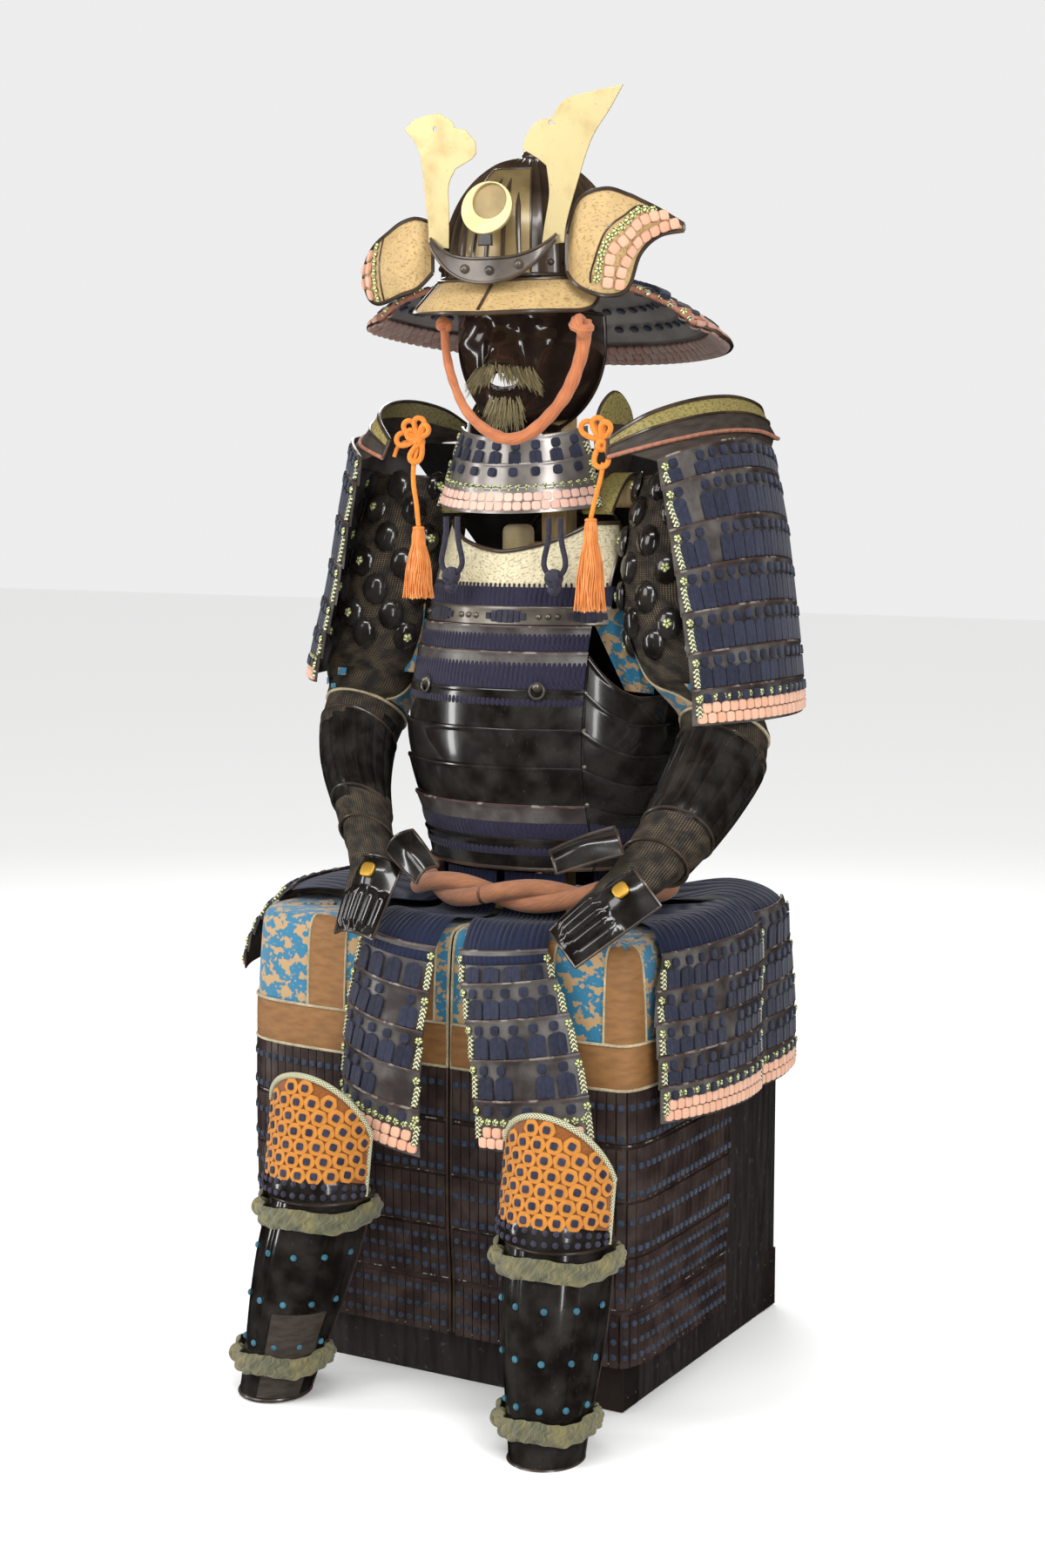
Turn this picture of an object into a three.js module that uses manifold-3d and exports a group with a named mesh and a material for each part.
// A suit of samurai armour, seated on its wooden armour chest.
// Millimetres, +Z up. The origin is the centre of the chest's underside and the
// armour faces -Y. "Left" and "right" are as a person in front of it sees them.

import * as THREE from 'three';
import * as BufferGeometryUtils from 'three/addons/utils/BufferGeometryUtils.js';
import Module from 'manifold-3d';

const wasm = await Module();
wasm.setup();

// ---------------------------------------------------------------- driving sizes

const GAP = 0.3;                 // air left at every seam and where pieces rest
const CLOTH = 2.5;               // wall of the sewn cloth
const LAME = 3.5;                // wall of a lacquered, laced lame
const PLATE = 2.5;               // wall of a plain lacquered plate
const OVERLAP = 3;               // how far a lame stands out over the one above it

const CHEST = { width: 460, depth: 440, height: 560, wall: 14, lid: 95 };
const TORSO = { x: 14, y: -30 }; // axis of the cuirass
const HEAD = { x: 8, y: -45, turn: 8 };
const KNEE_RADIUS = 68;

// ---------------------------------------------------------------- finishes

const finish = (color, roughness, metalness) =>
  new THREE.MeshStandardMaterial({ color, roughness, metalness });

const FINISH = {
  chestWood: finish(0x2a2120, 0.6, 0),
  standWood: finish(0xb59a6a, 0.6, 0),
  lacquer: finish(0x1d1716, 0.25, 0),
  laced: finish(0x1c2446, 0.8, 0),
  leather: finish(0xb8a578, 0.55, 0),
  gilt: finish(0xe0c57a, 0.35, 0.6),
  mail: finish(0x2c221d, 0.8, 0),
  brocade: finish(0x2f7f9c, 0.8, 0),
  beltRope: finish(0xb07555, 0.85, 0),
  orange: finish(0xe08a32, 0.8, 0),
  chinCord: finish(0xc66e50, 0.85, 0),
  navyCord: finish(0x222440, 0.8, 0),
  kneeCloth: finish(0xd08a32, 0.85, 0),
  tie: finish(0x6e6538, 0.85, 0),
};

const suit = new THREE.Group();

function addPiece(name, geometry, material, parent = suit) {
  const mesh = new THREE.Mesh(geometry, material);
  mesh.name = name;
  parent.add(mesh);
  return mesh;
}

// ---------------------------------------------------------------- general tools

const { degToRad, lerp, clamp } = THREE.MathUtils;
const vec = (x, y, z) => new THREE.Vector3(x, y, z);

// Value of a table's columns at v from 0 (first row) to 1 (last row), on a smooth curve.
function readTable(rows, v) {
  const place = clamp(v, 0, 1) * (rows.length - 1);
  const i = Math.min(Math.floor(place), rows.length - 2);
  const t = place - i;
  const before = rows[Math.max(i - 1, 0)];
  const after = rows[Math.min(i + 2, rows.length - 1)];
  const out = {};
  for (const key of Object.keys(rows[0])) {
    const a = rows[i][key];
    const b = rows[i + 1][key];
    const slopeA = (b - before[key]) / 2;
    const slopeB = (after[key] - a) / 2;
    const t2 = t * t;
    const t3 = t2 * t;
    out[key] = (2 * t3 - 3 * t2 + 1) * a + (t3 - 2 * t2 + t) * slopeA
      + (3 * t2 - 2 * t3) * b + (t3 - t2) * slopeB;
  }
  return out;
}

// Evenly spaced rows for a wall: { v, lift }, where lift moves the outer face out.
function evenRows(count) {
  const rows = [];
  for (let i = 0; i <= count; i += 1) {
    rows.push({ v: i / count, lift: 0 });
  }
  return rows;
}

// Rows for lames that overlap: each starts proud of the one above and sinks back.
// The first few stretches can be plain, such as the laces above the lames.
function lameRows(edges, lift = OVERLAP, plain = 0) {
  const rows = [{ v: edges[0], lift: 0 }];
  for (let i = 1; i < edges.length; i += 1) {
    rows.push({ v: edges[i], lift: 0 });
    if (i >= plain && i < edges.length - 1) {
      rows.push({ v: edges[i], lift });
    }
  }
  return rows;
}

function evenEdges(count) {
  return evenRows(count).map((row) => row.v);
}

// A closed wall: the form point(u, v) is its outer face, u from -1 to 1 across and
// v from 0 to 1 down. The inner face lies one thickness inside. Loop walls join in u.
function wall(point, { columns, rows, thickness, loop = false }) {
  const step = 1e-3;
  const outer = [];
  const inner = [];
  const across = loop ? columns : columns + 1;
  for (const { v, lift } of rows) {
    for (let i = 0; i < across; i += 1) {
      const u = -1 + (2 * i) / columns;
      const here = point(u, v);
      const reach = loop ? Infinity : 1;
      const side = point(Math.min(u + step, reach), v).sub(point(Math.max(u - step, -reach), v));
      const down = point(u, Math.min(v + step, 1)).sub(point(u, Math.max(v - step, 0)));
      const normal = down.cross(side).normalize();
      outer.push(here.clone().addScaledVector(normal, lift));
      inner.push(here.clone().addScaledVector(normal, -thickness));
    }
  }
  const points = [...outer, ...inner];
  const innerStart = outer.length;
  const faces = [];
  const quad = (a, b, c, d) => faces.push(a, b, c, a, c, d);
  const last = rows.length - 1;
  for (let r = 0; r < last; r += 1) {
    for (let i = 0; i < columns; i += 1) {
      const j = (i + 1) % across;
      const a = r * across + i;
      const b = r * across + j;
      const c = a + across;
      const d = b + across;
      quad(a, c, d, b);
      quad(innerStart + a, innerStart + b, innerStart + d, innerStart + c);
    }
  }
  for (let i = 0; i < columns; i += 1) {
    const j = (i + 1) % across;
    quad(i, j, innerStart + j, innerStart + i);
    const low = last * across;
    quad(low + i, innerStart + low + i, innerStart + low + j, low + j);
  }
  if (!loop) {
    for (let r = 0; r < last; r += 1) {
      const a = r * across;
      const c = a + across;
      quad(a, innerStart + a, innerStart + c, c);
      const b = a + columns;
      const d = b + across;
      quad(b, d, innerStart + d, innerStart + b);
    }
  }
  return closedMesh(points, faces);
}

function closedMesh(points, faces) {
  const geometry = new THREE.BufferGeometry();
  geometry.setFromPoints(points);
  geometry.setIndex(faces);
  return facingOut(geometry);
}

// Turns every face round where the mesh's signed volume is negative.
function facingOut(geometry) {
  const place = geometry.getAttribute('position');
  const index = geometry.getIndex();
  const corner = (i) => vec().fromBufferAttribute(place, index.getX(i));
  let volume = 0;
  for (let i = 0; i < index.count; i += 3) {
    volume += corner(i).dot(corner(i + 1).cross(corner(i + 2)));
  }
  if (volume < 0) {
    for (let i = 0; i < index.count; i += 3) {
      const b = index.getX(i + 1);
      index.setX(i + 1, index.getX(i + 2));
      index.setX(i + 2, b);
    }
  }
  geometry.computeVertexNormals();
  return geometry;
}

// A tube along a list of points, with closed ends.
function cord(points, diameter, { sides = 8, steps = points.length * 2 } = {}) {
  const ring = [];
  for (let i = 0; i < sides; i += 1) {
    const angle = (2 * Math.PI * i) / sides;
    ring.push(new THREE.Vector2(Math.cos(angle), Math.sin(angle)).multiplyScalar(diameter / 2));
  }
  const path = new THREE.CatmullRomCurve3(points);
  return new THREE.ExtrudeGeometry(new THREE.Shape(ring), { extrudePath: path, steps });
}

function toManifold(geometry) {
  const bare = geometry.clone();
  bare.deleteAttribute('normal');
  bare.deleteAttribute('uv');
  const merged = BufferGeometryUtils.mergeVertices(bare, 1e-4);
  return new wasm.Manifold(new wasm.Mesh({
    numProp: 3,
    vertProperties: new Float32Array(merged.getAttribute('position').array),
    triVerts: new Uint32Array(merged.getIndex().array),
  }));
}

function fromManifold(solid) {
  const mesh = solid.getMesh();
  const geometry = new THREE.BufferGeometry();
  geometry.setAttribute('position', new THREE.BufferAttribute(mesh.vertProperties, 3));
  geometry.setIndex(new THREE.BufferAttribute(mesh.triVerts, 1));
  geometry.computeVertexNormals();
  return geometry;
}

function box(width, depth, height, x, y, z) {
  const geometry = new THREE.BoxGeometry(width, depth, height);
  geometry.translate(x, y, z + height / 2);
  return geometry;
}

function join(...geometries) {
  return fromManifold(geometries.map(toManifold).reduce((sum, next) => sum.add(next)));
}

// ---------------------------------------------------------------- forms

// A panel's form, from a table of level sections. Each section is an arc over a chord:
// x, y, z    middle of the chord
// width      length of the chord
// bulge      how far the arc stands out from it
// wrap       angle that the arc turns through, in degrees
// turn       where it faces: 0 is the front, 90 the right, -90 the left
// roll       how much higher the right end is than the left
function panelForm(rows) {
  return (u, v) => {
    const s = readTable(rows, v);
    const half = degToRad(s.wrap) / 2;
    const angle = u * half;
    const across = (s.width / 2) * Math.sin(angle) / Math.sin(half);
    const out = s.bulge * (Math.cos(angle) - Math.cos(half)) / (1 - Math.cos(half));
    const turn = degToRad(s.turn);
    return vec(
      s.x + across * Math.cos(turn) + out * Math.sin(turn),
      s.y + across * Math.sin(turn) - out * Math.cos(turn),
      s.z + (s.roll * u) / 2,
    );
  };
}

// A tube's form, from a table of rings: x, y, z of the centre, wide (radius towards
// +X), deep (radius towards the front) and tilt, how far the tube leans forward from
// straight down, in degrees. u = 0 is the front of the tube.
function tubeForm(rows) {
  return (u, v) => {
    const s = readTable(rows, v);
    const tilt = degToRad(s.tilt);
    const angle = u * Math.PI;
    const ahead = s.deep * Math.cos(angle);
    return vec(
      s.x + s.wide * Math.sin(angle),
      s.y - ahead * Math.cos(tilt),
      s.z + ahead * Math.sin(tilt),
    );
  };
}

// Mirrors a table's rows to the other side of the plane x = middle.
function mirrored(rows, middle) {
  return rows.map((row) => ({
    ...row,
    x: 2 * middle - row.x,
    turn: -(row.turn ?? 0),
    roll: -(row.roll ?? 0),
  }));
}

// ---------------------------------------------------------------- armour chest

function buildChest() {
  const { width, depth, height, wall: thick, lid } = CHEST;
  const bodyHeight = height - lid - GAP;
  const outside = box(width, depth, bodyHeight, 0, 0, 0);
  const inside = box(width - 2 * thick, depth - 2 * thick, bodyHeight, 0, 0, thick);
  const body = toManifold(outside).subtract(toManifold(inside));
  addPiece('chest_body', fromManifold(body), FINISH.chestWood);

  const lidOutside = box(width, depth, lid, 0, 0, height - lid);
  const lidInside = box(width - 2 * thick, depth - 2 * thick, lid - thick, 0, 0, height - lid - GAP);
  const cover = toManifold(lidOutside).subtract(toManifold(lidInside));
  addPiece('chest_lid', fromManifold(cover), FINISH.chestWood);
}

// ---------------------------------------------------------------- inner stand

function buildStand() {
  const top = CHEST.height + GAP;
  const { x } = TORSO;
  const y = TORSO.y + 42;
  const padTop = BOWL.top - 22;
  const foot = box(200, 150, 8, x, y, top);
  const post = box(34, 34, padTop - top - 22, x, y, top);
  const shoulderBar = box(240, 30, 34, x, y - 20, BAR_TOP - 34);
  const headPad = new THREE.CylinderGeometry(40, 60, 30, 18);
  headPad.rotateX(Math.PI / 2);
  headPad.translate(HEAD.x, HEAD.y + 6, padTop - 15);
  const neckBlock = box(30, 40, 60, x - 26, y - 58, 985);
  const neckArm = box(40, 60, 20, x - 12, y - 30, 1002);
  addPiece('stand', join(foot, post, shoulderBar, headPad, neckBlock, neckArm), FINISH.standWood);
}

// ---------------------------------------------------------------- cuirass

// Levels of the cuirass: half width, depth to the front and to the back.
const TORSO_LEVELS = [
  { z: 1080, half: 112, front: 84, back: 92 },
  { z: 1020, half: 126, front: 100, back: 106 },
  { z: 960, half: 142, front: 114, back: 118 },
  { z: 900, half: 158, front: 124, back: 126 },
  { z: 840, half: 172, front: 132, back: 130 },
  { z: 780, half: 178, front: 136, back: 130 },
  { z: 720, half: 168, front: 132, back: 126 },
  { z: 660, half: 150, front: 122, back: 120 },
  { z: 600, half: 144, front: 118, back: 118 },
];

function torsoLevel(z) {
  const first = TORSO_LEVELS[0].z;
  const last = TORSO_LEVELS[TORSO_LEVELS.length - 1].z;
  return readTable(TORSO_LEVELS, (first - z) / (first - last));
}

// Point of the cuirass at an angle (0 front, 90 right, degrees) and a height.
function torsoPoint(angle, z, out = 0) {
  const level = torsoLevel(z);
  const a = degToRad(angle);
  const deep = Math.cos(a) >= 0 ? level.front : level.back;
  return vec(
    TORSO.x + (level.half + out) * Math.sin(a),
    TORSO.y - (deep + out) * Math.cos(a),
    z,
  );
}

// Angle at which the cuirass is a given distance to the right of its axis.
const angleAt = (distance, z) =>
  THREE.MathUtils.radToDeg(Math.asin(clamp(distance / torsoLevel(z).half, -0.98, 0.98)));

// A stretch of the cuirass between two edges and two heights, all functions of u or z.
function torsoPlate({ left, right, top, bottom, columns, edges, thickness = LAME, lift, out = 0 }) {
  const point = (u, v) => {
    const guess = lerp(top(u), bottom(u), v);
    const angle = lerp(left(guess), right(guess), (u + 1) / 2);
    return torsoPoint(angle, guess, out);
  };
  return wall(point, { columns, rows: lameRows(edges, lift), thickness });
}

const BAR_TOP = 1100;            // top of the stand's shoulder bar
const STRAP_TOP = BAR_TOP + 6.5; // top face of the straps where they rest on it
const HINGE = 112;               // distance of the front hinge from the axis
const BREAST = 122;              // half width of the breast plate
const BREAST_FOOT = 972;
const LACED_BREAST_FOOT = 926;
const BODY_FOOT = 630;

function buildCuirass() {
  const breastEdge = (z) => angleAt(BREAST, z);
  // The breast plate's scooped neckline
  addPiece('breast_plate', torsoPlate({
    left: (z) => -breastEdge(z),
    right: breastEdge,
    top: (u) => 1014 + 34 * Math.min(1, Math.abs(u) ** 1.6 / 0.55),
    bottom: () => BREAST_FOOT,
    columns: 14,
    edges: [0, 1],
    thickness: PLATE,
  }), FINISH.leather);
  addPiece('breast_lames', torsoPlate({
    left: (z) => -angleAt(BREAST + 4, z),
    right: (z) => angleAt(BREAST + 4, z),
    top: () => BREAST_FOOT - GAP,
    bottom: () => LACED_BREAST_FOOT,
    columns: 12,
    edges: [0, 0.5, 1],
  }), FINISH.laced);

  const frontEdges = [926, 895, 850, 803, 757, 711, 668, 630];
  const frontTop = LACED_BREAST_FOOT - GAP;
  const sideTop = 838;
  addPiece('belly_front', torsoPlate({
    left: () => -103.7,
    right: (z) => angleAt(HINGE, z) - 0.2,
    top: (u) => lerp(frontTop, sideTop, clamp((-u - 0.5) / 0.3, 0, 1)),
    bottom: () => BODY_FOOT,
    columns: 12,
    edges: frontEdges.map((z) => (frontEdges[0] - z) / (frontEdges[0] - BODY_FOOT)),
  }), FINISH.lacquer);

  const sideEdges = [0, 0.154, 0.335, 0.5115, 0.688, 0.854, 1];
  addPiece('side_right', torsoPlate({
    left: (z) => angleAt(HINGE, z) + 0.2,
    right: () => 103.7,
    top: (u) => sideTop + 52 * Math.max(0, -u) ** 2,
    bottom: () => BODY_FOOT,
    columns: 6,
    edges: sideEdges,
  }), FINISH.lacquer);
  addPiece('back_plate', torsoPlate({
    left: () => 104.3,
    right: () => 255.7,
    top: (u) => sideTop + 111 * (1 + Math.cos(Math.PI * clamp((Math.abs(u) - 0.3) / 0.7, 0, 1))),
    bottom: () => BODY_FOOT,
    columns: 10,
    edges: sideEdges,
  }), FINISH.lacquer);

  // Shoulder straps from the back plate over the stand's bar to the breast plate, each
  // with an upright rounded plate that guards the side of the neck
  for (const [name, side] of [['strap_left', -1], ['strap_right', 1]]) {
    const middle = TORSO.x + side * 92;
    const table = [
      { x: middle + side * 8, y: -76, z: 1062, width: 40 },
      { x: middle + side * 4, y: -52, z: 1088, width: 46 },
      { x: middle, y: -22, z: STRAP_TOP, width: 50 },
      { x: middle, y: 6, z: STRAP_TOP, width: 50 },
      { x: middle - side * 6, y: 44, z: 1090, width: 48 },
      { x: middle - side * 14, y: 62, z: 1068, width: 44 },
    ];
    const strap = (u, v) => {
      const s = readTable(table, v);
      return vec(s.x - (u * s.width) / 2, s.y, s.z);
    };
    const guard = new THREE.Shape();
    guard.moveTo(-34, 0);
    guard.bezierCurveTo(-62, 70, -40, 104, 2, 104);
    guard.bezierCurveTo(44, 104, 66, 64, 30, 0);
    const upright = new THREE.ExtrudeGeometry(guard, { depth: 3, bevelEnabled: false, curveSegments: 6 });
    upright.rotateX(Math.PI / 2);
    upright.rotateZ(Math.PI / 2);
    upright.translate(middle - side * 3, -8, STRAP_TOP - 4);
    const band = wall(strap, { columns: 2, rows: evenRows(8), thickness: 5 });
    addPiece(name, join(band, upright), FINISH.leather);
  }
}

// ---------------------------------------------------------------- rope belt

// Two strands laid up as a rope: a section of two lobes that turns along the ring.
const BELT = { z: 600, wide: 160, front: 136, back: 134, lobe: 11, turns: 9 };

function buildBelt() {
  const sides = 10;
  const steps = 54;
  const points = [];
  for (let i = 0; i < steps; i += 1) {
    const angle = (2 * Math.PI * i) / steps;
    const deep = Math.cos(angle) >= 0 ? BELT.front : BELT.back;
    const out = vec(Math.sin(angle) / BELT.wide, -Math.cos(angle) / deep, 0).normalize();
    const centre = vec(
      TORSO.x + BELT.wide * Math.sin(angle),
      TORSO.y - deep * Math.cos(angle),
      BELT.z,
    );
    const twist = (angle * BELT.turns) / 2;
    for (let k = 0; k < sides; k += 1) {
      const around = (2 * Math.PI * k) / sides;
      const reach = BELT.lobe * (1.1 + 0.86 * Math.abs(Math.cos(around - twist)));
      points.push(centre.clone()
        .addScaledVector(out, reach * Math.cos(around) * 0.86)
        .add(vec(0, 0, reach * Math.sin(around))));
    }
  }
  const faces = [];
  for (let i = 0; i < steps; i += 1) {
    for (let k = 0; k < sides; k += 1) {
      const a = i * sides + k;
      const b = i * sides + ((k + 1) % sides);
      const c = ((i + 1) % steps) * sides + k;
      const d = ((i + 1) % steps) * sides + ((k + 1) % sides);
      faces.push(a, b, d, a, d, c);
    }
  }
  addPiece('belt', closedMesh(points, faces), FINISH.beltRope);
}

// ---------------------------------------------------------------- skirt panels

// Sections of the hanging skirt panels: down inside the belt, out under it, over the
// lap, and then one section for the top edge of each lame and one for the last foot.
const SKIRT = {
  skirt_front_left: [
    { x: -30, y: -130, z: 624, width: 84, bulge: 6, wrap: 40, turn: -14, roll: 0 },
    { x: -32, y: -136, z: 575, width: 88, bulge: 6, wrap: 40, turn: -14, roll: 0 },
    { x: -40, y: -184, z: 573, width: 96, bulge: 8, wrap: 40, turn: -13, roll: 0 },
    { x: -47, y: -222, z: 579, width: 106, bulge: 12, wrap: 50, turn: -11, roll: -2 },
    { x: -53, y: -258, z: 555, width: 112, bulge: 14, wrap: 60, turn: -10, roll: -11 },
    { x: -58, y: -269, z: 508, width: 122, bulge: 16, wrap: 60, turn: -12, roll: -20 },
    { x: -62, y: -278, z: 463, width: 128, bulge: 18, wrap: 60, turn: -14, roll: -22 },
    { x: -62, y: -286, z: 417, width: 132, bulge: 18, wrap: 60, turn: -15, roll: -22 },
    { x: -60, y: -293, z: 373, width: 136, bulge: 18, wrap: 60, turn: -16, roll: -22 },
    { x: -57, y: -299, z: 318, width: 138, bulge: 18, wrap: 60, turn: -16, roll: -24 },
  ],
  skirt_front_right: [
    { x: 58, y: -128, z: 624, width: 78, bulge: 6, wrap: 40, turn: 12, roll: 0 },
    { x: 60, y: -134, z: 575, width: 82, bulge: 6, wrap: 40, turn: 12, roll: 0 },
    { x: 72, y: -184, z: 573, width: 96, bulge: 8, wrap: 40, turn: 12, roll: 0 },
    { x: 82, y: -224, z: 580, width: 104, bulge: 12, wrap: 50, turn: 8, roll: 2 },
    { x: 93, y: -262, z: 554, width: 110, bulge: 14, wrap: 60, turn: 6, roll: 9 },
    { x: 106, y: -274, z: 521, width: 118, bulge: 16, wrap: 60, turn: 8, roll: 15 },
    { x: 122, y: -282, z: 482, width: 124, bulge: 18, wrap: 60, turn: 10, roll: 18 },
    { x: 136, y: -289, z: 438, width: 130, bulge: 18, wrap: 60, turn: 11, roll: 18 },
    { x: 148, y: -295, z: 392, width: 136, bulge: 18, wrap: 60, turn: 12, roll: 16 },
    { x: 158, y: -300, z: 332, width: 140, bulge: 18, wrap: 60, turn: 12, roll: 10 },
  ],
  skirt_side_right: [
    { x: 129, y: -46, z: 624, width: 96, bulge: 10, wrap: 50, turn: 82, roll: 0 },
    { x: 130, y: -46, z: 575, width: 100, bulge: 10, wrap: 50, turn: 82, roll: 0 },
    { x: 186, y: -50, z: 573, width: 150, bulge: 14, wrap: 60, turn: 80, roll: 0 },
    { x: 242, y: -62, z: 581, width: 218, bulge: 16, wrap: 60, turn: 86, roll: 0 },
    { x: 271, y: -74, z: 554, width: 244, bulge: 18, wrap: 60, turn: 87, roll: 0 },
    { x: 275, y: -84, z: 512, width: 256, bulge: 20, wrap: 60, turn: 86, roll: -4 },
    { x: 278, y: -92, z: 474, width: 262, bulge: 20, wrap: 60, turn: 87, roll: -8 },
    { x: 281, y: -96, z: 436, width: 262, bulge: 20, wrap: 60, turn: 88, roll: -10 },
    { x: 284, y: -98, z: 400, width: 260, bulge: 20, wrap: 60, turn: 88, roll: -12 },
    { x: 287, y: -100, z: 354, width: 256, bulge: 20, wrap: 60, turn: 88, roll: -16 },
  ],
  skirt_rear_right: [
    { x: 82, y: 46, z: 624, width: 66, bulge: 6, wrap: 50, turn: 136, roll: 0 },
    { x: 83, y: 47, z: 575, width: 68, bulge: 6, wrap: 50, turn: 136, roll: 0 },
    { x: 136, y: 94, z: 573, width: 96, bulge: 10, wrap: 50, turn: 124, roll: 0 },
    { x: 204, y: 116, z: 582, width: 132, bulge: 10, wrap: 50, turn: 108, roll: 0 },
    { x: 252, y: 122, z: 562, width: 144, bulge: 12, wrap: 50, turn: 98, roll: 0 },
    { x: 259, y: 122, z: 514, width: 148, bulge: 12, wrap: 50, turn: 95, roll: 0 },
    { x: 262, y: 122, z: 470, width: 152, bulge: 12, wrap: 50, turn: 94, roll: 0 },
    { x: 264, y: 122, z: 428, width: 154, bulge: 12, wrap: 50, turn: 93, roll: 0 },
    { x: 265, y: 122, z: 386, width: 156, bulge: 12, wrap: 50, turn: 93, roll: 0 },
    { x: 266, y: 122, z: 340, width: 156, bulge: 12, wrap: 50, turn: 93, roll: 0 },
  ],
  skirt_side_left: [
    { x: -101, y: -46, z: 624, width: 96, bulge: 10, wrap: 50, turn: -82, roll: 0 },
    { x: -102, y: -46, z: 575, width: 100, bulge: 10, wrap: 50, turn: -82, roll: 0 },
    { x: -162, y: -50, z: 573, width: 150, bulge: 14, wrap: 60, turn: -84, roll: 0 },
    { x: -222, y: -56, z: 584, width: 196, bulge: 22, wrap: 60, turn: -88, roll: 0 },
    { x: -276, y: -62, z: 581, width: 216, bulge: 28, wrap: 70, turn: -88, roll: 0 },
    { x: -304, y: -62, z: 561, width: 222, bulge: 30, wrap: 70, turn: -88, roll: 0 },
    { x: -322, y: -62, z: 541, width: 226, bulge: 30, wrap: 70, turn: -88, roll: 0 },
    { x: -335, y: -62, z: 520, width: 228, bulge: 30, wrap: 70, turn: -88, roll: 0 },
    { x: -344, y: -62, z: 497, width: 230, bulge: 30, wrap: 70, turn: -88, roll: 0 },
    { x: -349, y: -62, z: 472, width: 230, bulge: 30, wrap: 70, turn: -88, roll: 0 },
  ],
  skirt_back: [
    { x: 12, y: 70, z: 624, width: 62, bulge: 5, wrap: 40, turn: 180, roll: 0 },
    { x: 12, y: 72, z: 575, width: 64, bulge: 5, wrap: 40, turn: 180, roll: 0 },
    { x: 12, y: 140, z: 573, width: 90, bulge: 6, wrap: 40, turn: 180, roll: 0 },
    { x: 12, y: 204, z: 580, width: 122, bulge: 8, wrap: 40, turn: 180, roll: 0 },
    { x: 11, y: 240, z: 556, width: 146, bulge: 10, wrap: 40, turn: 180, roll: 0 },
    { x: 10, y: 247, z: 508, width: 158, bulge: 10, wrap: 40, turn: 180, roll: 0 },
    { x: 9, y: 249, z: 466, width: 164, bulge: 10, wrap: 40, turn: 180, roll: 0 },
    { x: 8, y: 251, z: 424, width: 168, bulge: 10, wrap: 40, turn: 180, roll: 0 },
    { x: 8, y: 253, z: 382, width: 172, bulge: 10, wrap: 40, turn: 180, roll: 0 },
    { x: 8, y: 255, z: 336, width: 176, bulge: 10, wrap: 40, turn: 180, roll: 0 },
  ],
};
SKIRT.skirt_rear_left = mirrored(SKIRT.skirt_rear_right, 2);

function buildSkirt() {
  const laces = 4;               // stretches of lacing above the first lame
  for (const [name, rows] of Object.entries(SKIRT)) {
    addPiece(name, wall(panelForm(rows), {
      columns: 6,
      rows: lameRows(evenEdges(rows.length - 1), OVERLAP, laces),
      thickness: LAME,
    }), FINISH.laced);
  }
}

// ---------------------------------------------------------------- thigh guards

// A curtain's form: a level path, and a table of heights with how far out it stands.
function curtainForm(path, rows) {
  const curve = new THREE.CatmullRomCurve3(path.map(([x, y]) => vec(x, y, 0)), false, 'centripetal');
  return (u, v) => {
    const s = readTable(rows, v);
    const t = clamp((u + 1) / 2, 0, 1);
    const beyond = (u + 1) / 2 - t;
    const along = curve.getTangentAt(t);
    const outward = vec(along.y, -along.x, 0);
    return curve.getPointAt(t)
      .addScaledVector(along, beyond * curve.getLength())
      .addScaledVector(outward, s.out)
      .add(vec(0, 0, s.z));
  };
}

const THIGH_PATH = {
  left: [[-308, -104], [-306, -176], [-276, -230], [-180, -246], [6, -246]],
  right: [[12, -246], [110, -248], [214, -250], [251, -232], [256, -130], [254, 12]],
};
const THIGH_CLOTH = [
  { z: 566, out: -94 },
  { z: 566, out: -56 },
  { z: 566, out: -24 },
  { z: 556, out: -6 },
  { z: 516, out: 0 },
  { z: 458, out: 3 },
  { z: 400, out: 4 },
];
const THIGH_PLATES = [
  { z: 400 - GAP, out: 4 },
  { z: 334, out: 5 },
  { z: 268, out: 5 },
  { z: 202, out: 4 },
  { z: 136, out: 0 },
  { z: 70, out: 0 },
];

function buildThighGuards() {
  for (const [side, path] of Object.entries(THIGH_PATH)) {
    addPiece(`thigh_cloth_${side}`, wall(curtainForm(path, THIGH_CLOTH), {
      columns: 10,
      rows: evenRows(6),
      thickness: CLOTH,
    }), FINISH.brocade);
    addPiece(`thigh_plates_${side}`, wall(curtainForm(path, THIGH_PLATES), {
      columns: 10,
      rows: lameRows(evenEdges(5), 2),
      thickness: LAME,
    }), FINISH.lacquer);
  }
}

// ---------------------------------------------------------------- shins and knees

const LEG = {
  left: { top: vec(-118, -336, 252), foot: vec(-172, -362, 4) },
  right: { top: vec(208, -336, 246), foot: vec(212, -374, 0) },
};
const SHIN_LEVELS = [
  { wide: 62, deep: 62 },
  { wide: 62, deep: 63 },
  { wide: 57, deep: 59 },
  { wide: 49, deep: 52 },
  { wide: 42, deep: 46 },
];
const SHIN_REACH = 118;          // how far the shin plates go round to each side

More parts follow.
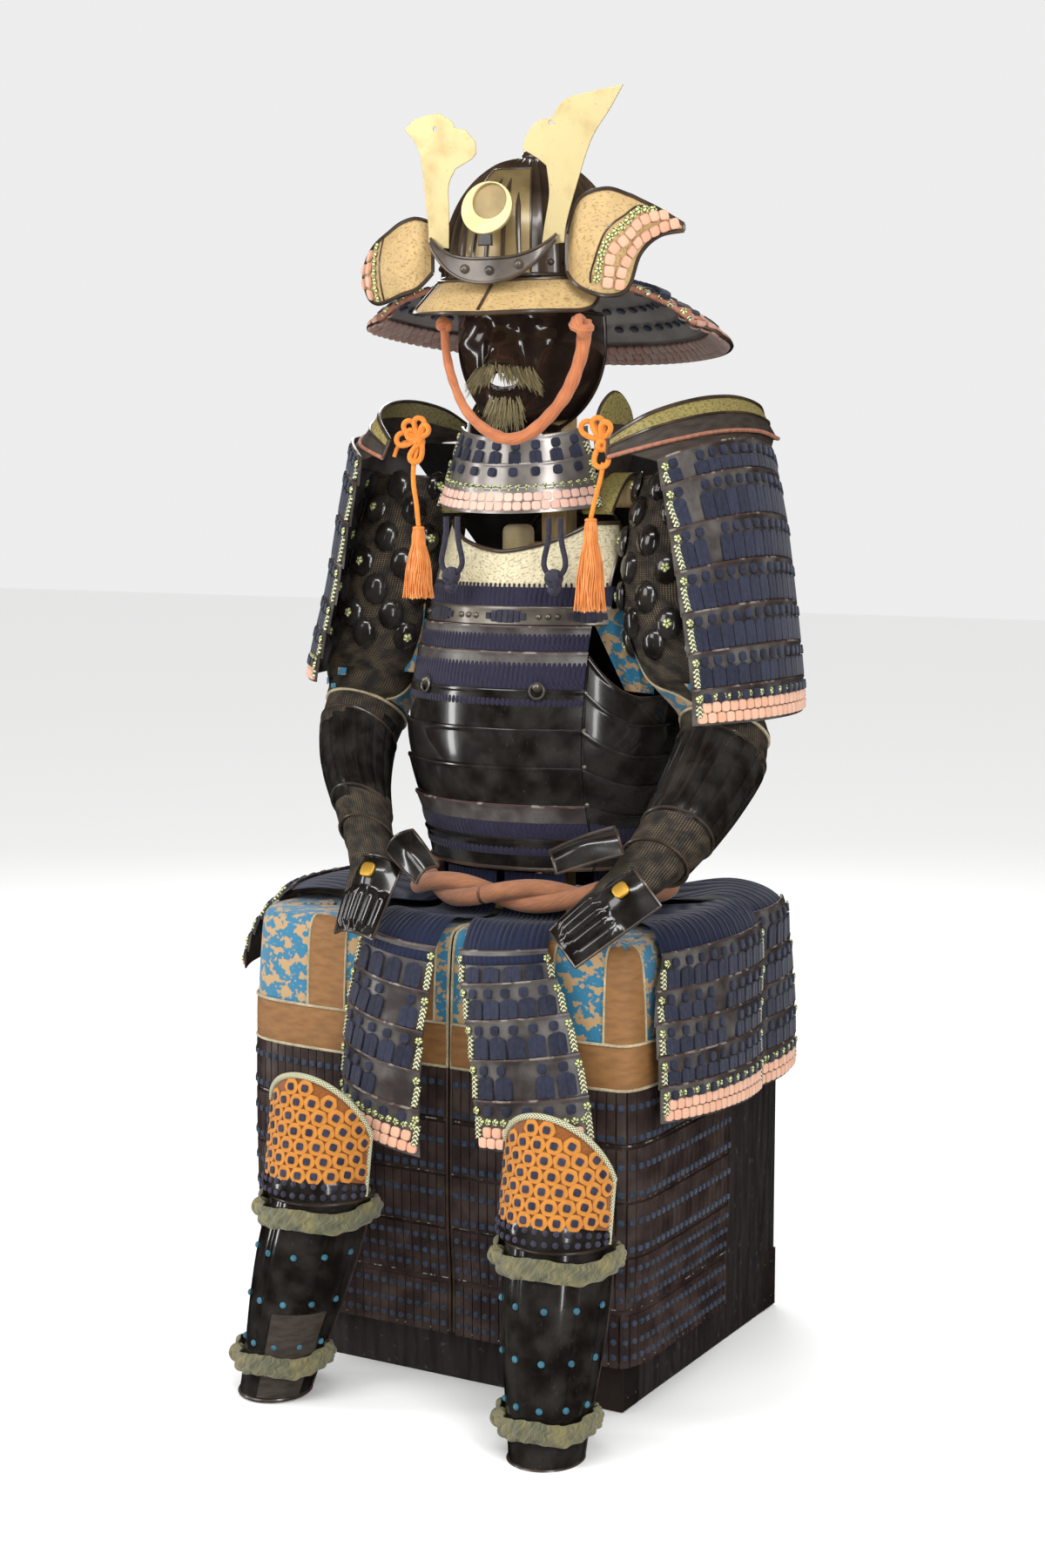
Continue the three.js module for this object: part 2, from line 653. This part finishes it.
function buildLegs() {
  for (const [name, { top, foot }] of Object.entries(LEG)) {
    const shin = (u, v) => {
      const s = readTable(SHIN_LEVELS, v);
      const centre = top.clone().lerp(foot, v);
      const angle = degToRad(u * SHIN_REACH);
      return centre.add(vec(s.wide * Math.sin(angle), -s.deep * Math.cos(angle), 0));
    };
    addPiece(`shin_${name}`, wall(shin, {
      columns: 12,
      rows: evenRows(5),
      thickness: PLATE,
    }), FINISH.lacquer);

    const kneeFoot = top.z + 5;
    const knee = (u, v) => {
      const angle = degToRad(u * 84);
      const peak = kneeFoot + 52 + 94 * Math.cos(angle * 0.98) ** 0.8;
      const z = lerp(peak, kneeFoot, v);
      const rise = (z - kneeFoot) / 150;
      return vec(
        top.x + KNEE_RADIUS * Math.sin(angle),
        top.y + 26 * rise - 2 - KNEE_RADIUS * Math.cos(angle),
        z,
      );
    };
    addPiece(`knee_${name}`, wall(knee, {
      columns: 12,
      rows: evenRows(3),
      thickness: CLOTH,
    }), FINISH.kneeCloth);

    const tieForm = (centre, wide, deep, half) => (u, v) => {
      const angle = u * Math.PI;
      const swell = 5 * Math.sin(v * Math.PI);
      return centre.clone().add(vec(
        (wide + swell) * Math.sin(angle),
        -(deep + swell) * Math.cos(angle),
        half * (1 - 2 * v),
      ));
    };
    const upper = top.clone().lerp(foot, 0.08);
    const lower = top.clone().lerp(foot, 0.82);
    addPiece(`tie_knee_${name}`, wall(tieForm(upper, 71, 71, 11), {
      columns: 14,
      rows: evenRows(2),
      thickness: 4,
      loop: true,
    }), FINISH.tie);
    addPiece(`tie_ankle_${name}`, wall(tieForm(lower, 56, 59, 11), {
      columns: 14,
      rows: evenRows(2),
      thickness: 4,
      loop: true,
    }), FINISH.tie);
  }
}

// ---------------------------------------------------------------- sleeves and hands

const ELBOW_TILT = 34;
const SLEEVE = {
  right: {
    upper: [
      { x: 210, y: -10, z: 1098, wide: 60, deep: 62, tilt: 6 },
      { x: 208, y: -32, z: 1010, wide: 68, deep: 72, tilt: 6 },
      { x: 218, y: -46, z: 920, wide: 68, deep: 70, tilt: 4 },
      { x: 244, y: -46, z: 852, wide: 60, deep: 62, tilt: 14 },
      { x: 268, y: -34, z: 804, wide: 53, deep: 58, tilt: ELBOW_TILT },
    ],
    lower: [
      { x: 268, y: -36, z: 800.6, wide: 53, deep: 58, tilt: ELBOW_TILT },
      { x: 276, y: -66, z: 770, wide: 54, deep: 54, tilt: 48 },
      { x: 276, y: -118, z: 730, wide: 50, deep: 47, tilt: 54 },
      { x: 272, y: -168, z: 694, wide: 44, deep: 41, tilt: 56 },
      { x: 264, y: -212, z: 664, wide: 40, deep: 36, tilt: 56 },
    ],
  },
  left: {
    upper: [
      { x: -176, y: -10, z: 1098, wide: 60, deep: 62, tilt: 6 },
      { x: -184, y: -32, z: 1010, wide: 66, deep: 70, tilt: 6 },
      { x: -202, y: -46, z: 920, wide: 66, deep: 68, tilt: 4 },
      { x: -226, y: -46, z: 852, wide: 58, deep: 60, tilt: 14 },
      { x: -244, y: -38, z: 804, wide: 51, deep: 56, tilt: ELBOW_TILT },
    ],
    lower: [
      { x: -244, y: -40, z: 800.6, wide: 51, deep: 56, tilt: ELBOW_TILT },
      { x: -238, y: -70, z: 770, wide: 50, deep: 52, tilt: 48 },
      { x: -210, y: -118, z: 730, wide: 47, deep: 46, tilt: 54 },
      { x: -174, y: -160, z: 694, wide: 41, deep: 40, tilt: 54 },
      { x: -142, y: -196, z: 664, wide: 37, deep: 34, tilt: 54 },
    ],
  },
};

// Back-of-hand and thumb plates: knuckle end, wrist end, and the way they face.
const HAND = {
  right: {
    hand: { from: vec(276, -258, 644), to: vec(198, -316, 576), face: vec(0.1, -0.75, 0.65), width: 74 },
    thumb: { from: vec(240, -256, 692), to: vec(178, -300, 674), face: vec(0, -0.75, 0.65), width: 42 },
  },
  left: {
    hand: { from: vec(-86, -246, 640), to: vec(-92, -306, 562), face: vec(0, -0.8, 0.6), width: 66 },
    thumb: { from: vec(-62, -244, 668), to: vec(-10, -272, 640), face: vec(0, -0.75, 0.65), width: 40 },
  },
};

function handPlate({ from, to, face, width }, bulge) {
  const along = to.clone().sub(from).normalize();
  const up = face.clone().addScaledVector(along, -face.dot(along)).normalize();
  const side = along.clone().cross(up).normalize();
  return (u, v) => from.clone()
    .addScaledVector(to.clone().sub(from), v)
    .addScaledVector(side, (u * width * (1 - 0.18 * v * v)) / 2)
    .addScaledVector(up, bulge * Math.cos(u * 1.3) - 10 * v * v);
}

function buildArms() {
  for (const [side, tables] of Object.entries(SLEEVE)) {
    addPiece(`sleeve_${side}`, wall(tubeForm(tables.upper), {
      columns: 14,
      rows: evenRows(6),
      thickness: CLOTH,
      loop: true,
    }), FINISH.mail);
    addPiece(`forearm_${side}`, wall(tubeForm(tables.lower), {
      columns: 14,
      rows: evenRows(5),
      thickness: CLOTH,
      loop: true,
    }), FINISH.lacquer);
    for (const [part, bulge] of [['hand', 20], ['thumb', 12]]) {
      addPiece(`${part}_${side}`, wall(handPlate(HAND[side][part], bulge), {
        columns: 6,
        rows: evenRows(4),
        thickness: PLATE,
      }), FINISH.lacquer);
    }
  }
}

// ---------------------------------------------------------------- shoulder guards

const SHOULDER = {
  right: [
    { x: 244, y: -18, z: 1124, width: 262, bulge: 38, wrap: 70, turn: 84, roll: 0 },
    { x: 262, y: -20, z: 1046, width: 266, bulge: 38, wrap: 70, turn: 84, roll: 0 },
    { x: 276, y: -20, z: 960, width: 270, bulge: 38, wrap: 70, turn: 85, roll: 0 },
    { x: 288, y: -20, z: 880, width: 272, bulge: 38, wrap: 70, turn: 86, roll: 0 },
    { x: 294, y: -20, z: 818, width: 274, bulge: 38, wrap: 70, turn: 86, roll: 0 },
  ],
  left: [
    { x: -204, y: -40, z: 1128, width: 262, bulge: 38, wrap: 70, turn: -72, roll: 0 },
    { x: -222, y: -42, z: 1050, width: 264, bulge: 38, wrap: 70, turn: -72, roll: 0 },
    { x: -242, y: -42, z: 960, width: 266, bulge: 38, wrap: 70, turn: -72, roll: 0 },
    { x: -262, y: -42, z: 896, width: 268, bulge: 38, wrap: 70, turn: -72, roll: 0 },
    { x: -276, y: -42, z: 848, width: 270, bulge: 38, wrap: 70, turn: -72, roll: 0 },
  ],
};
// Each top plate arches over the shoulder. Stations from its front end to its back end:
// the upper edge (x, y, z) and the lower edge (footX, footY, footZ).
const SHOULDER_TOP_RIGHT = [
  { x: 168, y: -150, z: 1148, footX: 172, footY: -160, footZ: 1126 },
  { x: 204, y: -118, z: 1176, footX: 224, footY: -130, footZ: 1142 },
  { x: 232, y: -50, z: 1194, footX: 262, footY: -54, footZ: 1156 },
  { x: 244, y: 30, z: 1199, footX: 276, footY: 30, footZ: 1158 },
  { x: 244, y: 104, z: 1190, footX: 270, footY: 104, footZ: 1150 },
  { x: 234, y: 142, z: 1172, footX: 246, footY: 142, footZ: 1152 },
];
const SHOULDER_MIDDLE = 17;      // the shoulders' own middle, across
const SHOULDER_TOP = {
  right: SHOULDER_TOP_RIGHT,
  left: SHOULDER_TOP_RIGHT.map((row) => ({
    ...row,
    x: 2 * SHOULDER_MIDDLE - row.x,
    footX: 2 * SHOULDER_MIDDLE - row.footX,
  })),
};
const SHOULDER_ARCH = 26;        // how far the middle of a guard's top edge rises

function buildShoulders() {
  for (const [side, rows] of Object.entries(SHOULDER)) {
    const flat = panelForm(rows);
    const guard = (u, v) => flat(u, v).add(vec(0, 0, SHOULDER_ARCH * (1 - u * u) * (1 - v)));
    addPiece(`shoulder_guard_${side}`, wall(guard, {
      columns: 8,
      rows: lameRows([0, 0.12, 0.26, 0.4, 0.54, 0.68, 0.82, 1]),
      thickness: LAME,
    }), FINISH.laced);

    const across = side === 'right' ? 1 : -1;
    const cap = (u, v) => {
      const s = readTable(SHOULDER_TOP[side], (1 + across * u) / 2);
      return vec(lerp(s.x, s.footX, v), lerp(s.y, s.footY, v), lerp(s.z, s.footZ, v));
    };
    addPiece(`shoulder_top_${side}`, wall(cap, {
      columns: 10,
      rows: evenRows(2),
      thickness: PLATE,
    }), FINISH.leather);
  }
}

// ---------------------------------------------------------------- helmet

const head = new THREE.Group();
head.position.set(HEAD.x, HEAD.y, 0);
head.rotation.z = degToRad(HEAD.turn);
suit.add(head);

const BOWL = { wide: 108, front: 122, back: 124, foot: 1338, top: 1488 };

// Point of the helmet bowl: angle round it (0 front) and height share (0 foot, 1 top).
function bowlPoint(angle, share, out = 0) {
  const a = degToRad(angle);
  const deep = Math.cos(a) >= 0 ? BOWL.front : BOWL.back;
  const reach = Math.sqrt(Math.max(0, 1 - share ** 2.3));
  return vec(
    (BOWL.wide * reach + out) * Math.sin(a),
    -(deep * reach + out) * Math.cos(a),
    lerp(BOWL.foot, BOWL.top, share),
  );
}

function buildBowl() {
  const bowl = (u, v) => bowlPoint(u * 180, lerp(0.995, 0, v ** 1.6));
  const shell = wall(bowl, { columns: 22, rows: evenRows(6), thickness: PLATE, loop: true });
  const knob = [[0, 0], [17, 0], [19, 4], [14, 8], [11, 13], [5, 15], [0, 15]];
  const finial = new THREE.LatheGeometry(knob.map(([r, z]) => new THREE.Vector2(r, z)), 10);
  finial.rotateX(Math.PI / 2);
  finial.translate(0, 0, BOWL.top - 6);
  addPiece('helmet_bowl', join(shell, finial), FINISH.lacquer, head);

  const brimReach = 66;
  const brim = (u, v) => {
    const angle = u * brimReach;
    const out = 2 + 46 * v * (0.35 + 0.65 * Math.cos(degToRad(angle)) ** 0.7);
    const p = bowlPoint(angle, 0, out + 1.5);
    p.z -= 4 + 42 * v - 6 * Math.abs(u);
    return p;
  };
  addPiece('helmet_brim', wall(brim, {
    columns: 14,
    rows: evenRows(2),
    thickness: PLATE,
  }), FINISH.leather, head);
}

// ---------------------------------------------------------------- crest

// Outline of each horn, from its foot: across, away from the middle, and up.
const HORN_RIGHT = [
  [-10, -14], [18, -12], [20, 6], [26, 28], [36, 58], [48, 92], [58, 112], [75, 135], [92, 162],
  [58, 157], [25, 151], [11, 140], [6, 130], [-12, 127], [-26, 114], [-33, 96],
  [-16, 86], [-3, 76], [0, 44], [-6, 10],
];
const HORN_LEFT = [
  [-12, -14], [14, -12], [14, 12], [17, 38], [19, 66], [23, 94], [31, 112], [43, 125],
  [27, 137], [-2, 142], [-18, 132], [-22, 124], [-36, 121], [-48, 107], [-49, 94],
  [-42, 87], [-22, 77], [-13, 58], [-13, 24],
];

function hornGeometry(outline) {
  const shape = new THREE.Shape(outline.map(([across, up]) => new THREE.Vector2(across, up)));
  const hole = new THREE.Path();
  hole.absarc(3, 124, 2.6, 0, 2 * Math.PI);
  shape.holes.push(hole);
  const plate = new THREE.ExtrudeGeometry(shape, { depth: 1.6, bevelEnabled: false, curveSegments: 4 });
  plate.rotateX(Math.PI / 2);
  return plate;
}

function buildCrest() {
  const foot = 1386;
  const spread = 70;
  for (const [name, outline, side] of [['crest_horn_right', HORN_RIGHT, 1], ['crest_horn_left', HORN_LEFT, -1]]) {
    const plate = hornGeometry(outline);
    if (side < 0) {
      plate.scale(-1, 1, 1);
      plate.setIndex([...Array(plate.getAttribute('position').count).keys()]);
      facingOut(plate);
    }
    const horn = addPiece(name, plate, FINISH.gilt, head);
    horn.position.set(side * spread, -124, foot);
    horn.rotation.set(degToRad(2), 0, 0);
  }

  // The dark socket plate: a crescent that lies on the bowl's front
  const socket = (u, v) => {
    const across = 80 * u;
    const low = 1327 + 36 * u * u + 14 * Math.abs(u) ** 4;
    const high = 1358 + 26 * Math.abs(u) ** 3;
    const back = 20 * u * u + 6 * (1 - v);
    return vec(across, -154 + back, lerp(high, low, v));
  };
  addPiece('crest_socket', wall(socket, {
    columns: 12,
    rows: evenRows(2),
    thickness: 3,
  }), FINISH.lacquer, head);

  // Disc with an off-centre hollow, so that its rim reads as a crescent
  const outer = new THREE.Shape();
  outer.absarc(0, 0, 32, 0, 2 * Math.PI);
  const hollow = new THREE.Path();
  hollow.absarc(3, 8, 21, 0, 2 * Math.PI, true);
  outer.holes.push(hollow);
  const moon = new THREE.ExtrudeGeometry(outer, { depth: 5, bevelEnabled: false, curveSegments: 10 });
  moon.rotateX(Math.PI / 2);
  const disc = addPiece('crest_moon', moon, FINISH.gilt, head);
  disc.position.set(0, -144, 1414);
  disc.rotation.set(degToRad(-14), 0, 0);
}

// ---------------------------------------------------------------- turned-back wings

// Columns of each wing from its root outward: across, depth, and its low and high edge.
const WINGS = {
  turnback_right: [
    { x: 84, y: -104, low: 1342, high: 1386, curl: 0 },
    { x: 102, y: -112, low: 1324, high: 1424, curl: 8 },
    { x: 130, y: -102, low: 1314, high: 1436, curl: 14 },
    { x: 152, y: -86, low: 1322, high: 1430, curl: 16 },
    { x: 164, y: -76, low: 1362, high: 1424, curl: 10 },
    { x: 182, y: -60, low: 1384, high: 1414, curl: 5 },
    { x: 206, y: -40, low: 1391, high: 1398, curl: 0 },
  ],
  turnback_left: [
    { x: -88, y: -104, low: 1346, high: 1404, curl: 0 },
    { x: -106, y: -108, low: 1328, high: 1410, curl: 8 },
    { x: -130, y: -100, low: 1322, high: 1406, curl: 13 },
    { x: -154, y: -86, low: 1316, high: 1396, curl: 15 },
    { x: -178, y: -68, low: 1314, high: 1386, curl: 12 },
    { x: -196, y: -52, low: 1322, high: 1374, curl: 7 },
    { x: -208, y: -40, low: 1338, high: 1360, curl: 3 },
  ],
};

function buildTurnbacks() {
  for (const [name, rows] of Object.entries(WINGS)) {
    const wing = (u, v) => {
      const s = readTable(rows, (u + 1) / 2);
      return vec(s.x, s.y - s.curl * Math.sin(v * Math.PI), lerp(s.high, s.low, v));
    };
    addPiece(name, wall(wing, {
      columns: 12,
      rows: evenRows(4),
      thickness: LAME,
    }), FINISH.leather, head);
  }
}

// ---------------------------------------------------------------- neck guard

const NECK_GUARD = [
  { z: 1333, wide: 118, front: 50, back: 134 },
  { z: 1324, wide: 144, front: 50, back: 164 },
  { z: 1311, wide: 172, front: 50, back: 196 },
  { z: 1294, wide: 202, front: 50, back: 228 },
  { z: 1270, wide: 232, front: 50, back: 258 },
];

function buildNeckGuard() {
  const reach = 118;             // degrees to each side of the back
  const form = (u, v) => {
    const s = readTable(NECK_GUARD, v);
    const angle = degToRad(180 - u * reach);
    const deep = Math.cos(angle) >= 0 ? s.front : s.back;
    const sideways = 10 * v;
    const rise = v * (8 + 26 * Math.cos(angle) - 8 * Math.sin(angle));
    return vec(sideways + s.wide * Math.sin(angle), -deep * Math.cos(angle), s.z + rise);
  };
  addPiece('neck_guard', wall(form, {
    columns: 18,
    rows: lameRows([0, 0.25, 0.5, 0.75, 1]),
    thickness: LAME,
  }), FINISH.laced, head);
}

// ---------------------------------------------------------------- mask and throat

const MASK = { x: -4, wide: 88, deep: 100, foot: 1158, top: 1300 };

// Point of the face at an angle (0 front) and a height share, 0 at the chin, 1 at the top.
function maskPoint(angle, share) {
  const a = degToRad(angle);
  const chin = Math.sqrt(clamp(1 - Math.max(0, 1 - share) ** 2.6, 0.12, 1));
  const cheek = 1 + 0.05 * Math.sin(Math.PI * share);
  const nose = 34 * Math.exp(-((angle / 9) ** 2)) * Math.exp(-(((share - 0.66) / 0.15) ** 2));
  const brow = 8 * Math.exp(-(((share - 0.96) / 0.08) ** 2));
  return vec(
    MASK.x + MASK.wide * chin * cheek * Math.sin(a),
    -(MASK.deep * (0.55 + 0.45 * chin) + nose + brow * Math.cos(a)) * Math.cos(a) + 8,
    lerp(MASK.foot, MASK.top, share),
  );
}

function buildMask() {
  const form = (u, v) => maskPoint(u * 104, 1 - v);
  const shell = toManifold(wall(form, { columns: 20, rows: evenRows(8), thickness: PLATE }));
  const mouth = new THREE.SphereGeometry(1, 16, 8);
  mouth.scale(19, 40, 8);
  mouth.translate(MASK.x, -92, 1219);
  const face = shell.subtract(toManifold(mouth));
  addPiece('mask', fromManifold(face), FINISH.lacquer, head);
}

const THROAT = [
  { z: 1150, wide: 88, front: 96 },
  { z: 1126, wide: 96, front: 104 },
  { z: 1102, wide: 104, front: 113 },
  { z: 1078, wide: 112, front: 122 },
  { z: 1060, wide: 118, front: 128 },
];

function buildThroatGuard() {
  const form = (u, v) => {
    const s = readTable(THROAT, v);
    const a = degToRad(u * 64);
    const lift = 26 * (1 - Math.cos(a)) * (1 - v * 0.4);
    return vec(s.wide * Math.sin(a), -s.front * Math.cos(a) + 14, s.z + lift);
  };
  addPiece('throat_guard', wall(form, {
    columns: 12,
    rows: lameRows([0, 0.33, 0.62, 1]),
    thickness: LAME,
  }), FINISH.laced, head);
}

// ---------------------------------------------------------------- cords and tassels

const CORD = 6;

const CHIN_CORD = [
  [-74, -104, 1292], [-71, -108, 1272], [-66, -114, 1248], [-54, -124, 1218], [-34, -134, 1184],
  [-6, -142, 1160], [24, -145, 1148], [50, -141, 1154], [74, -132, 1176], [92, -122, 1204],
  [104, -114, 1240], [107, -109, 1266], [107, -106, 1286],
];

const TASSEL_CORDS = {
  left: [
    [-90, -150, 1146], [-94, -158, 1122], [-92, -163, 1096], [-86, -166, 1070], [-82, -168, 1044],
  ],
  right: [
    [166, -158, 1120], [164, -160, 1104], [160, -161, 1088], [156, -162, 1072], [152, -162, 1056],
  ],
};

function tassel(length) {
  const profile = [
    [0, 0], [7, 0], [9, -8], [7, -15], [11, -22], [17, -length * 0.6], [19, -length], [0, -length],
  ];
  const body = new THREE.LatheGeometry(
    profile.map(([r, z]) => new THREE.Vector2(r, z)).reverse(),
    12,
  );
  body.rotateX(Math.PI / 2);
  return body;
}

function toPoints(list) {
  return list.map(([x, y, z]) => vec(x, y, z));
}

function buildCords() {
  addPiece('chin_cord', cord(toPoints(CHIN_CORD), 17, { sides: 8, steps: 20 }), FINISH.chinCord, head);
  for (const [side, route] of Object.entries(TASSEL_CORDS)) {
    addPiece(`tassel_cord_${side}`, cord(toPoints(route), CORD, { steps: 8 }), FINISH.orange);
    const [x, y, z] = route[route.length - 1];
    const length = side === 'left' ? 88 : 110;
    addPiece(`tassel_${side}`, tassel(length), FINISH.orange).position.set(x, y, z - GAP - CORD / 2);
  }
  for (const [side, x] of [['left', -36], ['right', 106]]) {
    const strand = [[8, 1056], [8, 1040], [10, 1024], [14, 1008], [14, 998], [8, 989]];
    const route = [
      ...strand.map(([out, z]) => [x - out, -166, z]),
      [x, -166, 986],
      ...strand.map(([out, z]) => [x + out, -166, z]).reverse(),
    ];
    addPiece(`bib_cord_${side}`, cord(toPoints(route), 7, { steps: 18 }), FINISH.navyCord);
  }
}

// ---------------------------------------------------------------- the suit

buildChest();
buildStand();
buildCuirass();
buildBelt();
buildSkirt();
buildThighGuards();
buildLegs();
buildArms();
buildShoulders();
buildBowl();
buildCrest();
buildTurnbacks();
buildNeckGuard();
buildMask();
buildThroatGuard();
buildCords();

export default suit;
